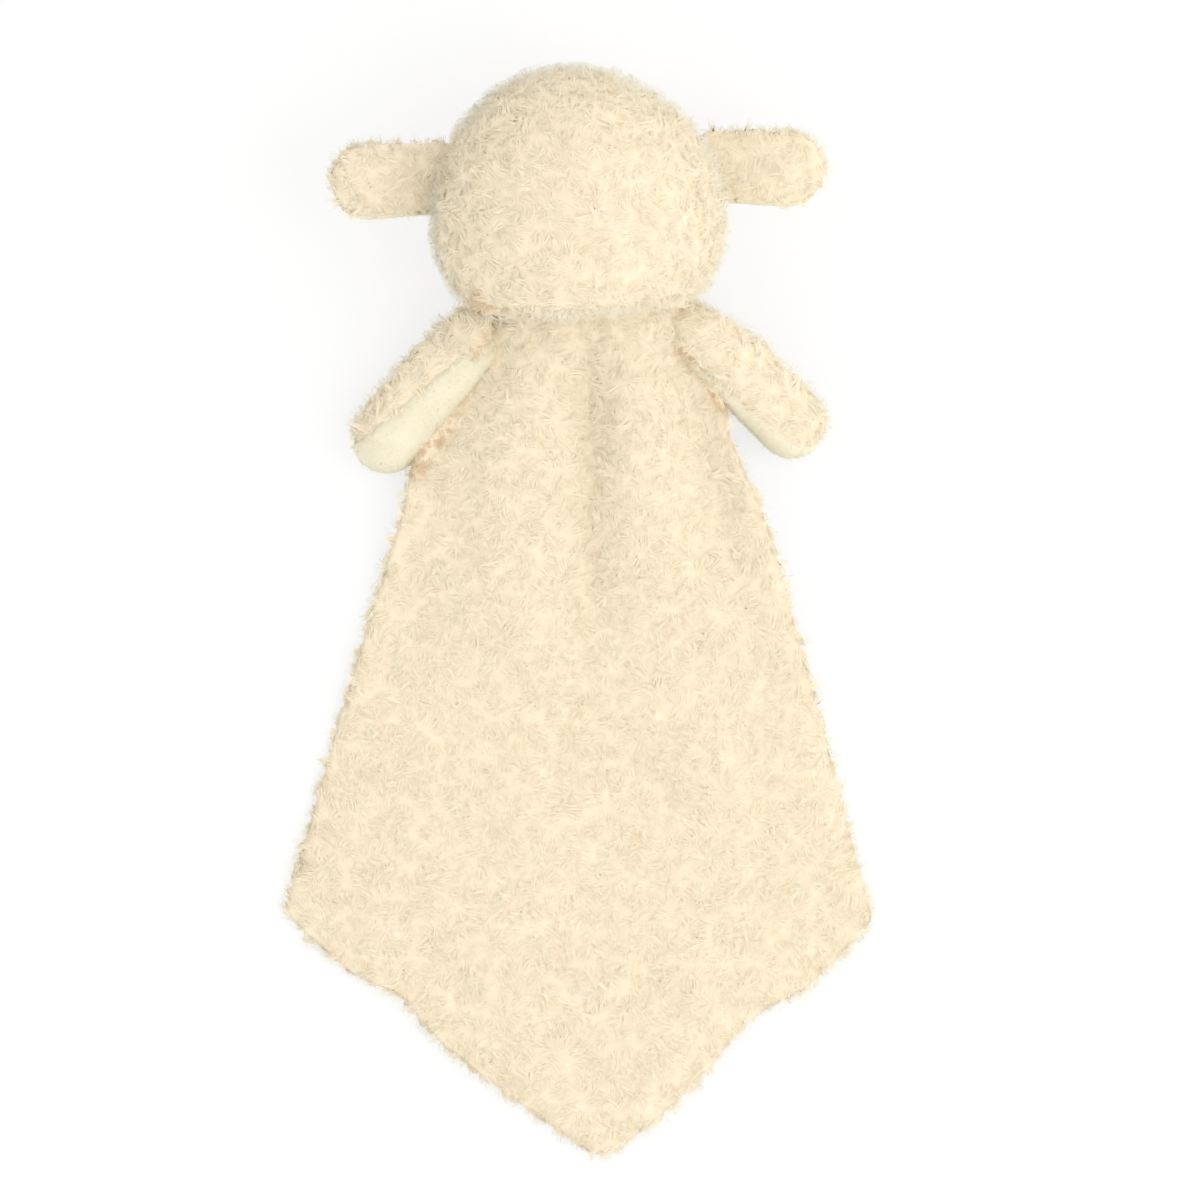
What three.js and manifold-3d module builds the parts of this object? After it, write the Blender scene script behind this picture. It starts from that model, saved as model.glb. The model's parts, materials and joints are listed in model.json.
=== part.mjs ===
// A lamb comforter: a stuffed lamb's head, ears and arms on a kite-shaped blanket of two cloths.
// It lies face down, as a comforter does when it is put down with its back showing.
// Millimetres, +Z up, +Y towards the crown. Left and right are the lamb's own, and the lamb is
// seen from behind, so its left is at -X. The origin is under the middle of the toy's box.
import * as THREE from "three";
import { mergeVertices } from "three/addons/utils/BufferGeometryUtils.js";
import Module from "manifold-3d";

const wasm = await Module();
wasm.setup();

// Cloths and the room between pieces
const fleece = 5; // backing and curled pile together
const earFleece = 3.6; // the ears' pile is clipped shorter
const velour = 1.6;
const seamGap = 0.3; // between two pieces that are sewn face to face
const restCut = 0.8; // how far a stuffed piece flattens where it lies on a table

// Head, measured up from the neck seam
const headWidth = 107;
const headDepth = 90;
const headHeight = 88;
const cheekHeight = 26; // where the head is widest
const faceHeight = 44; // where the head is deepest
const neckDip = 17; // below the seam, where the cheeks would meet if the neck didn't cut them off
const neckEdge = 7; // how softly the cheeks turn under to the neck
const headTilt = THREE.MathUtils.degToRad(2.2); // sideways, as it was laid down
const headShift = 1; // to the right of the middle of the blanket's neck gather
const headRings = 12; // even, so that one lies at the middle
const headSides = 20; // this and the other counts of sides are multiples of four

// Face panel and its embroidery
const faceWidth = 62;
const faceLength = 60;
const faceCentre = 39;
const faceSegments = 12; // in half of its outline
const stitchSegments = 6;
const faceInset = 1; // the velour lies this far below the tips of the pile
const threadGap = 0.3;
const thread = 0.7;
const eye = { width: 6, length: 7.5, spacing: 34, height: 45 };
const nose = { width: 11, length: 7, height: 25, shoulder: 1, brow: 1.5, cheek: 0.62 };
const mouth = { width: 12, drop: 6.5, bow: 2.6, stitch: 1.3 };

// Ears
const earLength = 40; // beyond the side of the head
const earBaseWidth = 28;
const earTipWidth = 29.5;
const earBaseThickness = 8;
const earTipThickness = 15;
const earHeight = 47; // on the head, above the neck seam
const earDepth = 4; // in front of the middle of the head
const earDroop = { left: 1, right: 4 }; // degrees, with the tip towards the neck
const earTurn = 12; // degrees that the lower edge rolls up, so that its lining shows
const earLiningInset = 0.5;
const earRings = 6;
const earSides = 8;

// Neck: the drawn-up top of the blanket, rolled into the opening of the head
const neckHeight = 38;
const neckRadius = 5.5;
const neckWidth = 64;
const neckPleats = 7;
const pleatDepth = 0.7;
const neckEndPower = 6; // how squarely the roll ends
const neckSides = 8;

// Arms
const armLength = 60; // shoulder to the end of the paw
const shoulderWidth = 27;
const shoulderDepth = 19;
const pawWidth = 27.5;
const pawDepth = 24;
const armLiningInset = 1;
const knuckleRadius = 6.5; // the end that is sewn into the blanket's corner
const knuckleReach = { left: 4.5, right: 2 }; // outside the blanket's side
const knuckleSteps = 6;
const shoulderDrop = 0.028; // of the way from the neck to the hem
const armRings = 8;
const armSides = 12;
const armHeading = { left: 40, right: 45 }; // degrees out from the way to the hem
const armTurn = { left: 4, right: 40 }; // degrees that the fleece is rolled towards the back
const armFlap = { down: -40, up: 45, stops: 9 }; // degrees, which the blanket leaves room for

// Blanket, as it lies
const blanketNeckWidth = 70;
const blanketNeckShift = 4; // the neck is gathered a little to the right
const neckScoop = 2; // the corners of the neckline lie this far below its middle
const leftCorner = [-107, -219];
const rightCorner = [106, -222.5];
const tip = [8, -308];
const sideBulge = { left: 9.5, right: 6.5 };
const hemBulge = 6;
const hemRounding = 0.32; // less makes the corners rounder
const drapeLength = 125; // the cloth reaches the table this far below the neck
const sideDrop = 0.24; // the sides hang this share lower than the middle
const foldDepth = 8;
const foldPitch = 0.84; // of half the blanket's width
const foldPlace = -0.46;
const foldStart = 28;
const foldEnd = 215;
const rippleDepth = 2.4;
const rippleLength = { across: 74, down: 126 };
const rippleSlant = { across: 0.4, down: -0.3 };
const hemPile = 2.5; // the fleece is pressed thinner where the hem is sewn
const clothColumns = 16; // even, so that one edge ends at the tip
const clothRows = 13;

const colours = {
  fleece: new THREE.MeshStandardMaterial({ color: 0xf6ead0, roughness: 0.95, metalness: 0 }),
  velour: new THREE.MeshStandardMaterial({ color: 0xf5eed6, roughness: 0.85, metalness: 0 }),
  fibre: new THREE.MeshStandardMaterial({ color: 0xfafaf7, roughness: 1, metalness: 0 }),
  brownThread: new THREE.MeshStandardMaterial({ color: 0x5b4437, roughness: 0.6, metalness: 0 }),
  pinkThread: new THREE.MeshStandardMaterial({ color: 0xc99788, roughness: 0.6, metalness: 0 }),
};

// Solids

// A solid that can be cut and joined, from a closed geometry that matrix puts in its place
function solidOf(geometry, matrix = new THREE.Matrix4()) {
  const bare = geometry.clone().applyMatrix4(matrix);
  bare.deleteAttribute("normal");
  bare.deleteAttribute("uv");
  const merged = mergeVertices(bare, 1e-4);
  return new wasm.Manifold(
    new wasm.Mesh({
      numProp: 3,
      vertProperties: merged.attributes.position.array,
      triVerts: new Uint32Array(merged.index.array),
    }),
  );
}

function piece(name, solid, material) {
  const made = solid.getMesh();
  const geometry = new THREE.BufferGeometry();
  geometry.setAttribute("position", new THREE.BufferAttribute(made.vertProperties, 3));
  geometry.setIndex(new THREE.BufferAttribute(made.triVerts, 1));
  geometry.computeVertexNormals();
  const mesh = new THREE.Mesh(geometry, material);
  mesh.name = name;
  return mesh;
}

// A skin over rings of points, closed by a fan at each end. Each ring runs anticlockwise
// when it is seen from the last ring.
function skin(rings, first, last) {
  const sides = rings[0].length;
  const points = [first, ...rings.flat(), last];
  const at = (ring, side) => 1 + ring * sides + (side % sides);
  const faces = [];
  for (let side = 0; side < sides; side += 1) {
    faces.push(0, at(0, side + 1), at(0, side));
    faces.push(points.length - 1, at(rings.length - 1, side), at(rings.length - 1, side + 1));
    for (let ring = 0; ring + 1 < rings.length; ring += 1) {
      faces.push(at(ring, side), at(ring, side + 1), at(ring + 1, side + 1));
      faces.push(at(ring, side), at(ring + 1, side + 1), at(ring + 1, side));
    }
  }
  const geometry = new THREE.BufferGeometry().setFromPoints(points);
  geometry.setIndex(faces);
  return geometry;
}

// A stuffed form along +Y, with an elliptical section whose half sizes are functions of y
function stuffed(start, end, ringCount, sides, halfWidth, halfDepth) {
  const rings = [];
  for (let ring = 1; ring < ringCount; ring += 1) {
    const y = start + ((end - start) * (1 - Math.cos((Math.PI * ring) / ringCount))) / 2;
    const points = [];
    for (let side = 0; side < sides; side += 1) {
      const angle = (-2 * Math.PI * side) / sides;
      points.push(
        new THREE.Vector3(halfWidth(y) * Math.cos(angle), y, halfDepth(y) * Math.sin(angle)),
      );
    }
    rings.push(points);
  }
  return skin(rings, new THREE.Vector3(0, start, 0), new THREE.Vector3(0, end, 0));
}

// The share of full size that is left on the way out, 0 to 1, from the middle to a rounded end
function rounded(out, power = 2) {
  return (1 - THREE.MathUtils.clamp(out, 0, 1) ** power) ** (1 / power);
}

// A limb from its round sewn end at -startRound to its round tip at end
function limb(end, start, tipSize, rings, sides, inset) {
  const startRound = start.depth / 2;
  const endRound = tipSize.width / 2;
  const half = (from, to) => (y) => {
    const along = THREE.MathUtils.smoothstep(y, 0, end - endRound);
    const size = from / 2 + ((to - from) / 2) * along - inset;
    const nearStart = rounded(-y / (startRound - inset));
    const nearEnd = rounded((y - end + endRound) / (endRound - inset));
    return size * nearStart * nearEnd;
  };
  return stuffed(
    inset - startRound,
    end - inset,
    rings,
    sides,
    half(start.width, tipSize.width),
    half(start.depth, tipSize.depth),
  );
}

function ball(radius, steps) {
  return new THREE.SphereGeometry(radius, 2 * steps, steps);
}

// The room around a ball. Its flat facets, too, stay a seam's gap away from the ball.
function roomAround(radius, steps) {
  return ball((radius + seamGap) / Math.cos(Math.PI / (2 * steps)) ** 2, steps);
}

// All that lies beyond a plane, at a distance along its normal
function halfSpace(normal, distance) {
  const size = 4 * (headWidth + armLength);
  const box = new THREE.BoxGeometry(size, size, size);
  box.translate(distance + size / 2, 0, 0);
  const turn = new THREE.Quaternion().setFromUnitVectors(new THREE.Vector3(1, 0, 0), normal);
  return box.applyQuaternion(turn);
}

// A stuffed limb of two cloths: fleece on the side that normal points to, lining on the other,
// and the stuffing between them. What the limb must leave free is given in clearance.
function twoClothLimb(name, form, normal, pile, inset, clearance) {
  const swollen = (depth) => solidOf(form(depth));
  const other = normal.clone().negate();
  const backHalf = solidOf(halfSpace(normal, seamGap / 2));
  const frontHalf = solidOf(halfSpace(other, seamGap / 2));
  const insideFront = solidOf(halfSpace(other, seamGap / 2 + seamGap));
  const outer = swollen(0).subtract(swollen(pile)).intersect(backHalf);
  const inner = swollen(inset).subtract(swollen(inset + velour)).intersect(frontHalf);
  const plumper = swollen(inset + velour + seamGap).intersect(insideFront);
  const filling = swollen(pile + seamGap).add(plumper);
  const trim = (solid) => clearance.reduce((left, cutter) => left.subtract(cutter), solid);
  return [
    piece(`${name}_fleece`, trim(outer), colours.fleece),
    piece(`${name}_lining`, trim(inner), colours.velour),
    piece(`${name}_stuffing`, trim(filling), colours.fibre),
  ];
}

// Head

// The share of its full size that the head has at y, if it is fullest at middle
function headSwell(y, middle, inset) {
  if (y > middle) {
    return rounded((y - middle) / (headHeight - inset - middle));
  }
  const cheek = rounded((middle - y) / (middle + neckDip - inset));
  return cheek * rounded((inset + neckEdge - y) / neckEdge, 4);
}

function headForm(inset) {
  const width = (y) => (headWidth / 2 - inset) * headSwell(y, cheekHeight, inset);
  const depth = (y) => (headDepth / 2 - inset) * headSwell(y, faceHeight, inset);
  return solidOf(stuffed(inset, headHeight - inset, headRings, headSides, width, depth));
}

// An upright prism under the head, from above down past the face
function faceCutter(shape, curveSegments, above) {
  const prism = new THREE.ExtrudeGeometry(shape, {
    depth: headDepth,
    bevelEnabled: false,
    curveSegments,
  });
  prism.translate(0, 0, above - headDepth);
  return solidOf(prism);
}

function oval(x, y, width, length) {
  return new THREE.Shape().absellipse(x, y, width / 2, length / 2, 0, 2 * Math.PI);
}

function embroidery(name, outlines, table, material) {
  const raised = headForm(faceInset - threadGap - thread).subtract(
    headForm(faceInset - threadGap),
  );
  const cutters = outlines.map((outline) => faceCutter(outline, stitchSegments, 0));
  const joined = cutters.reduce((sum, next) => sum.add(next));
  return piece(name, raised.intersect(joined).subtract(table), material);
}

// A blunt triangle with its corner towards the mouth
function noseOutline() {
  const shape = new THREE.Shape();
  const top = nose.height + nose.length / 2;
  const bottom = nose.height - nose.length / 2;
  const cheek = nose.width * nose.cheek;
  const side = nose.width / 2;
  shape.moveTo(0, bottom);
  shape.quadraticCurveTo(cheek, nose.height + nose.shoulder, side, top - nose.shoulder);
  shape.quadraticCurveTo(0, top + nose.brow, -side, top - nose.shoulder);
  shape.quadraticCurveTo(-cheek, nose.height + nose.shoulder, 0, bottom);
  return shape;
}

// One half of the mouth: a row of stitches down from the nose that curves out to a corner
function mouthOutline(side) {
  const shape = new THREE.Shape();
  const half = mouth.stitch / 2;
  const top = nose.height - nose.length / 2 + half;
  const foot = top - mouth.drop;
  const corner = (side * mouth.width) / 2;
  shape.moveTo(-side * half, top);
  shape.lineTo(-side * half, foot - half);
  shape.quadraticCurveTo(corner / 2, foot - mouth.bow, corner, foot + half);
  shape.lineTo(corner - side * half, foot + half + mouth.stitch);
  shape.quadraticCurveTo(corner / 2, foot - half, side * half, foot + half);
  shape.lineTo(side * half, top);
  return shape;
}

function eyeOutline(side) {
  return oval((side * eye.spacing) / 2, eye.height, eye.width, eye.length);
}

// Where an ear is sewn to the side of the head, and which way it points
function earPlace(side) {
  const name = side < 0 ? "left" : "right";
  const base = earBaseThickness / 2;
  const surface = (headWidth / 2) * headSwell(earHeight, cheekHeight, 0);
  const matrix = new THREE.Matrix4().makeRotationZ(
    -side * THREE.MathUtils.degToRad(90 + earDroop[name]),
  );
  matrix.setPosition(side * (surface + seamGap + base), earHeight, -earDepth);
  return matrix;
}

// The room around the rounded base of an ear, which the head leaves free
function earRoll(side) {
  const roll = roomAround(earBaseThickness / 2, earSides);
  roll.scale((earBaseWidth + 2 * seamGap) / (earBaseThickness + 2 * seamGap), 1, 1);
  return solidOf(roll, earPlace(side));
}

// The neck is a roll along X with a dip between each two pleats and rounded ends
function neckRoll() {
  const steps = 2 * neckPleats;
  const points = [new THREE.Vector2(0, -neckWidth / 2)];
  for (let step = 1; step < steps; step += 1) {
    const along = step / steps - 0.5;
    const ends = rounded(2 * Math.abs(along), neckEndPower);
    const radius = (neckRadius - (step % 2 ? 0 : pleatDepth)) * ends;
    points.push(new THREE.Vector2(radius, neckWidth * along));
  }
  points.push(new THREE.Vector2(0, neckWidth / 2));
  return new THREE.LatheGeometry(points, neckSides).rotateZ(-Math.PI / 2);
}

// The opening that the head has for the neck
function neckOpening() {
  const length = neckWidth + 2 * seamGap;
  return new THREE.CylinderGeometry(
    neckRadius + seamGap,
    neckRadius + seamGap,
    length,
    2 * neckSides,
  ).rotateZ(Math.PI / 2);
}

function makeHead() {
  const head = new THREE.Group();
  const middle = headDepth / 2 - faceInset - restCut;
  head.position.z = middle;
  const table = solidOf(halfSpace(new THREE.Vector3(0, 0, -1), middle));
  const neck = solidOf(neckOpening().translate(0, 0, neckHeight - middle));
  const grooves = earRoll(-1).add(earRoll(1));
  const face = oval(0, faceCentre, faceWidth, faceLength);
  const faceHole = oval(0, faceCentre, faceWidth + 2 * seamGap, faceLength + 2 * seamGap);
  const behindFace = oval(0, faceCentre, faceWidth - 2 * seamGap, faceLength - 2 * seamGap);

  const cover = headForm(0)
    .subtract(headForm(fleece))
    .subtract(faceCutter(faceHole, faceSegments, 0))
    .subtract(neck)
    .subtract(grooves)
    .subtract(table);
  const panel = headForm(faceInset)
    .subtract(headForm(faceInset + velour))
    .intersect(faceCutter(face, faceSegments, -seamGap))
    .subtract(table);
  const plumper = headForm(faceInset + velour + seamGap).intersect(
    faceCutter(behindFace, faceSegments, 0),
  );
  const filling = headForm(fleece + seamGap).add(plumper).subtract(neck);
  const muzzle = [noseOutline(), mouthOutline(-1), mouthOutline(1)];

  head.add(
    piece("head_fleece", cover, colours.fleece),
    piece("face_panel", panel, colours.velour),
    piece("head_stuffing", filling, colours.fibre),
    embroidery("left_eye", [eyeOutline(-1)], table, colours.brownThread),
    embroidery("right_eye", [eyeOutline(1)], table, colours.brownThread),
    embroidery("nose_and_mouth", muzzle, table, colours.pinkThread),
    makeEar(-1),
    makeEar(1),
  );
  return head;
}

// Ears

function makeEar(side) {
  const name = side < 0 ? "left" : "right";
  const ear = new THREE.Group();
  ear.applyMatrix4(earPlace(side));
  const base = { width: earBaseWidth, depth: earBaseThickness };
  const end = { width: earTipWidth, depth: earTipThickness };
  const length = earLength - seamGap - base.depth / 2;
  const form = (inset) => limb(length, base, end, earRings, earSides, inset);
  const turn = THREE.MathUtils.degToRad(earTurn);
  const back = new THREE.Vector3(-side * Math.sin(turn), 0, Math.cos(turn));
  ear.add(...twoClothLimb(`${name}_ear`, form, back, earFleece, earLiningInset, []));
  return ear;
}

// Arms

function knuckleRoom() {
  return roomAround(knuckleRadius, knuckleSteps);
}

function armForm(inset) {
  const start = { width: shoulderWidth, depth: shoulderDepth };
  const end = { width: pawWidth, depth: pawDepth };
  return limb(armLength, start, end, armRings, armSides, inset);
}

// The arm starts beside the middle of its knuckle
function behindShoulder() {
  return halfSpace(new THREE.Vector3(0, -1, 0), 0);
}

// The knuckle sits at the blanket's side. The arm leans down from it until the paw rests.
function armPlace(side) {
  const name = side < 0 ? "left" : "right";
  const edge = clothPlan(side, shoulderDrop);
  const height = clothHeight(side, edge) + (velour + seamGap + fleece) / 2;
  const drop = height + restCut - pawDepth / 2;
  const slope = Math.asin(drop / (armLength - pawWidth / 2));
  const heading = THREE.MathUtils.degToRad(180 - armHeading[name]);
  return {
    position: new THREE.Vector3(edge.x + side * knuckleReach[name], edge.y, height),
    rotation: new THREE.Euler(-slope, 0, -side * heading, "ZXY"),
  };
}

function makeArm(side) {
  const name = side < 0 ? "left" : "right";
  const place = armPlace(side);
  const shoulder = new THREE.Group();
  shoulder.position.copy(place.position);
  const arm = new THREE.Group();
  arm.rotation.copy(place.rotation);
  const turn = THREE.MathUtils.degToRad(armTurn[name]);
  const back = new THREE.Vector3(-side * Math.cos(turn), 0, Math.sin(turn));
  const behind = solidOf(behindShoulder());
  const tab = solidOf(ball(knuckleRadius, knuckleSteps));
  shoulder.add(piece(`${name}_shoulder_tab`, tab, colours.fleece), arm);
  shoulder.updateMatrixWorld(true);
  const below = halfSpace(new THREE.Vector3(0, 0, -1), 0);
  const table = solidOf(below, arm.matrixWorld.clone().invert());
  const clearance = [solidOf(knuckleRoom()), behind, table];
  arm.add(...twoClothLimb(`${name}_arm`, armForm, back, fleece, armLiningInset, clearance));
  return shoulder;
}

// Blanket

// Where the cloth lies in plan: u runs from the left side, -1, to the right side, 1, and v from
// the neck, 0, to the hem, 1
function clothPlan(u, v) {
  const half = blanketNeckWidth / 2;
  const drop = neckRadius + seamGap;
  const seam = new THREE.Vector2(blanketNeckShift + u * half, -drop - neckScoop * u * u);
  const neck = seam.rotateAround(new THREE.Vector2(0, 0), headTilt);
  const corner = new THREE.Vector2(...(u < 0 ? leftCorner : rightCorner));
  const hem = new THREE.Vector2(...tip).lerp(corner, Math.abs(u));
  hem.y -= hemBulge * Math.max(0, Math.sin(Math.PI * Math.abs(u))) ** hemRounding;
  const point = neck.lerp(hem, v);
  const bulge = u < 0 ? sideBulge.left : sideBulge.right;
  point.x += bulge * u * Math.abs(u) * Math.sin(Math.PI * Math.sqrt(v));
  return point;
}

// The height of the cloth's underside: a drape from the neck, with folds that run down from it
function clothHeight(u, point) {
  const down = Math.max(0, -point.y - neckRadius - seamGap);
  const rise = neckHeight - (fleece + velour + seamGap) / 2;
  const drape = Math.max(0, 1 - down / drapeLength) ** 2 * (1 - sideDrop * Math.abs(u) ** 3);
  const fade =
    THREE.MathUtils.smoothstep(down, 0, foldStart) *
    (1 - THREE.MathUtils.smoothstep(down, foldStart, foldEnd));
  const fold = (foldDepth * fade * (1 + Math.cos((2 * Math.PI * (u - foldPlace)) / foldPitch))) / 2;
  const settle = THREE.MathUtils.smoothstep(down, foldStart, drapeLength);
  const across = (point.x + rippleSlant.across * point.y) / rippleLength.across;
  const along = (point.y + rippleSlant.down * point.x) / rippleLength.down;
  const waves = Math.sin(2 * Math.PI * across) * Math.cos(2 * Math.PI * along);
  return Math.max(0, rise * drape + fold + rippleDepth * settle * waves - restCut);
}

// A cloth between two heights above the underside, as a slab over a grid of u and v
function cloth(bottom, top, hemTop) {
  const points = [];
  const faces = [];
  const across = clothColumns + 1;
  const layer = across * (clothRows + 1);
  for (const level of [bottom, top]) {
    for (let row = 0; row <= clothRows; row += 1) {
      for (let column = 0; column <= clothColumns; column += 1) {
        const u = (2 * column) / clothColumns - 1;
        const plan = clothPlan(u, row / clothRows);
        const hem = row === clothRows || column === 0 || column === clothColumns;
        const height = hem ? Math.min(level, hemTop) : level;
        points.push(new THREE.Vector3(plan.x, plan.y, clothHeight(u, plan) + height));
      }
    }
  }
  const quad = (a, b, c, d) => faces.push(a, b, c, a, c, d);
  for (let row = 0; row < clothRows; row += 1) {
    for (let column = 0; column < clothColumns; column += 1) {
      const a = row * across + column;
      quad(a, a + 1, a + 1 + across, a + across);
      quad(layer + a, layer + a + across, layer + a + 1 + across, layer + a + 1);
    }
  }
  for (let column = 0; column < clothColumns; column += 1) {
    const last = clothRows * across + column;
    quad(column, layer + column, layer + column + 1, column + 1);
    quad(last, last + 1, layer + last + 1, layer + last);
  }
  for (let row = 0; row < clothRows; row += 1) {
    const left = row * across;
    const right = left + clothColumns;
    quad(left, left + across, layer + left + across, layer + left);
    quad(right, layer + right, layer + right + across, right + across);
  }
  const geometry = new THREE.BufferGeometry().setFromPoints(points);
  geometry.setIndex(faces);
  return solidOf(geometry);
}

// The room that an arm takes beside the blanket, from its lowest flap to its highest
function armRoom(side) {
  const { position, rotation } = armPlace(side);
  let room = solidOf(knuckleRoom().translate(...position));
  for (let stop = 0; stop < armFlap.stops; stop += 1) {
    const flap = armFlap.down + ((armFlap.up - armFlap.down) * stop) / (armFlap.stops - 1);
    const turned = rotation.clone();
    turned.x += THREE.MathUtils.degToRad(flap);
    const place = new THREE.Matrix4().makeRotationFromEuler(turned).setPosition(position);
    const arm = solidOf(armForm(-seamGap), place).subtract(solidOf(behindShoulder(), place));
    room = room.add(arm);
  }
  return room;
}

function makeBlanket() {
  const blanket = new THREE.Group();
  const clearance = [armRoom(-1), armRoom(1)];
  const fitted = (solid) => clearance.reduce((left, cutter) => left.subtract(cutter), solid);
  const under = velour + seamGap;
  const back = cloth(under, under + fleece, under + hemPile);
  blanket.add(
    piece("blanket_back_fleece", fitted(back), colours.fleece),
    piece("blanket_front_lining", fitted(cloth(0, velour, velour)), colours.velour),
  );
  return blanket;
}

// The whole toy

function makeNeckAndHead() {
  const top = new THREE.Group();
  top.rotation.z = headTilt;
  top.position.x = headShift;
  const neck = piece("neck_gather", solidOf(neckRoll()), colours.fleece);
  neck.position.z = neckHeight;
  top.add(neck, makeHead());
  return top;
}

const lamb = new THREE.Group();
lamb.add(makeBlanket(), makeNeckAndHead(), makeArm(-1), makeArm(1));

const box = new THREE.Box3().setFromObject(lamb, true);
const centre = box.getCenter(new THREE.Vector3());
lamb.position.set(-centre.x, -centre.y, -box.min.z);

export default lamb;
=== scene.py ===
import json
from math import cos, pi, radians, sin

import bmesh
import bpy
import numpy as np
from mathutils import Matrix, Vector, kdtree


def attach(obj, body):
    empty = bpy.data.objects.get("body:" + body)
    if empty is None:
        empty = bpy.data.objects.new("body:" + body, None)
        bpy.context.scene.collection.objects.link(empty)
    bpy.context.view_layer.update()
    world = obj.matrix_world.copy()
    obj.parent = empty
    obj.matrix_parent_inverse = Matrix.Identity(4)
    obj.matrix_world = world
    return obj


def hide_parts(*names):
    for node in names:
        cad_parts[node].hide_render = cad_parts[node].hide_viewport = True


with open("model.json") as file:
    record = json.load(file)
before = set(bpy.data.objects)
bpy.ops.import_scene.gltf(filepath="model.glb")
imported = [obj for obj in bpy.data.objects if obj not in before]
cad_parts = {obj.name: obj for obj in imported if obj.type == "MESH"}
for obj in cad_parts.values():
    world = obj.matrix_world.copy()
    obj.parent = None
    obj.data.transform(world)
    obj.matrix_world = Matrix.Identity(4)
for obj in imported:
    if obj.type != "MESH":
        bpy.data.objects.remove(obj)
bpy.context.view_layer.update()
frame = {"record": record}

# The lamb lies face down, seen from behind. All lengths here are in millimetres, and each piece is
# brought to metres when its mesh is finished.


# Blanket front: a kite of smooth ivory velour, the side that lies on the table. It is cut to the
# same outline as the fleece on its back, sewn to it along the hem, and gathered at the neck.

NECK_SEAM = np.array([0.5, 110.032, 38.0])
HEAD_TILT = radians(2.2)
NECK_RADIUS = 5.5
NECK_MIDDLE, NECK_HALF = 4, 35
LINING = 1.6
SEAM = 0.3
LEFT_CORNER = np.array([-107.0, -219.0])
RIGHT_CORNER = np.array([106.0, -222.5])
TIP = np.array([8.0, -308.0])
HEM_BOW = 6
LEFT_BOW, RIGHT_BOW = 9.5, 6.5
DRAPE_END = 125
FOLD_START, FOLD_END = 28, 215
FOLD_AT, FOLD_SPACING = -0.46, 0.84
FOLD_HEIGHT, RIPPLE_HEIGHT = 9.8, 2.4


def smooth(edge0, edge1, x):
    """From 0 at edge0 to 1 at edge1, with soft ends."""
    t = np.clip((x - edge0) / (edge1 - edge0), 0, 1)
    return t * t * (3 - 2 * t)


def swell(x, middle, spread):
    """A soft bump of height 1 round its middle."""
    return np.exp(-(((x - middle) / spread) ** 2))


def blanket_plan(u, v):
    """Where the cloth lies in plan, from the neck seam.

    u runs from side to side, -1 to 1, and v from the neck, 0, to the hem, 1.
    """
    c, s = cos(HEAD_TILT), sin(HEAD_TILT)
    along = NECK_MIDDLE + NECK_HALF * u
    drop = -(NECK_RADIUS + SEAM) - 2 * u * u
    neck = np.stack([along * c - drop * s, along * s + drop * c], -1)
    corner = np.where(u[..., None] < 0, LEFT_CORNER, RIGHT_CORNER)
    hem = TIP + (corner - TIP) * np.abs(u)[..., None]
    notch = np.where(u < 0, 5.6 * swell(u, -0.64, 0.09), 7.0 * swell(u, 0.55, 0.15))
    hem[..., 1] -= HEM_BOW * np.maximum(0, np.sin(pi * np.abs(u))) ** 0.32 - notch
    plan = neck + (hem - neck) * v[..., None]
    bow = np.where(u < 0, LEFT_BOW, RIGHT_BOW)
    plan[..., 0] += bow * u * np.abs(u) * np.sin(pi * np.sqrt(np.clip(v, 0, 1)))
    beside_arm = np.where(u < 0, 3.0 * swell(v, 0.23, 0.05), -3.6 * swell(v, 0.2, 0.09))
    plan[..., 0] += beside_arm * u * np.abs(u)
    return plan


def blanket_height(u, plan):
    """The height of the underside: a drape from the neck, with folds and ripples further on."""
    x, y = plan[..., 0], plan[..., 1]
    down = np.maximum(0, -y - NECK_RADIUS - SEAM)
    drape = np.maximum(0, 1 - down / DRAPE_END) ** 2 * (1 - 0.24 * np.abs(u) ** 3)
    fade = smooth(0, FOLD_START, down) * (1 - smooth(FOLD_START, FOLD_END, down))
    crest = ((1 + np.cos(2 * pi * (u - FOLD_AT) / FOLD_SPACING)) / 2) ** 0.7
    fold = FOLD_HEIGHT * fade * crest
    settle = smooth(FOLD_START, DRAPE_END, down)
    waves = np.sin(2 * pi * (x + 0.4 * y) / 74) * np.cos(2 * pi * (y - 0.3 * x) / 126)
    rise = NECK_SEAM[2] - (5 + LINING + SEAM) / 2
    return np.maximum(0, rise * drape + fold + RIPPLE_HEIGHT * settle * waves - 0.8)


def deselect():
    bpy.ops.object.select_all(action="DESELECT")


def alone(piece):
    """Makes a piece the active one, and the only one selected."""
    deselect()
    piece.select_set(True)
    bpy.context.view_layer.objects.active = piece


def take(name):
    """The object that was just added, alone and selected, under its own name."""
    piece = bpy.context.object
    piece.name = name
    piece.data.name = name
    return piece


def on_all(step, **settings):
    """One mesh operator on the whole of the active piece."""
    bpy.ops.object.mode_set(mode="EDIT")
    bpy.ops.mesh.select_all(action="SELECT")
    step(**settings)
    bpy.ops.object.mode_set(mode="OBJECT")


def places(piece):
    co = np.empty(len(piece.data.vertices) * 3)
    piece.data.vertices.foreach_get("co", co)
    return co.reshape(-1, 3)


def place(piece, co):
    flat = np.ascontiguousarray(co, dtype=np.float32).ravel()
    piece.data.vertices.foreach_set("co", flat)
    piece.data.update()


def vertex_normals(piece):
    n = np.empty(len(piece.data.vertices) * 3)
    piece.data.vertex_normals.foreach_get("vector", n)
    return n.reshape(-1, 3)


def to_metres(piece):
    place(piece, places(piece) / 1000)
    piece.data.shade_smooth()


def ranked(elements, key):
    """Each element's number when they are sorted by the key."""
    return {element: number for number, element in enumerate(sorted(elements, key=key))}


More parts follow.
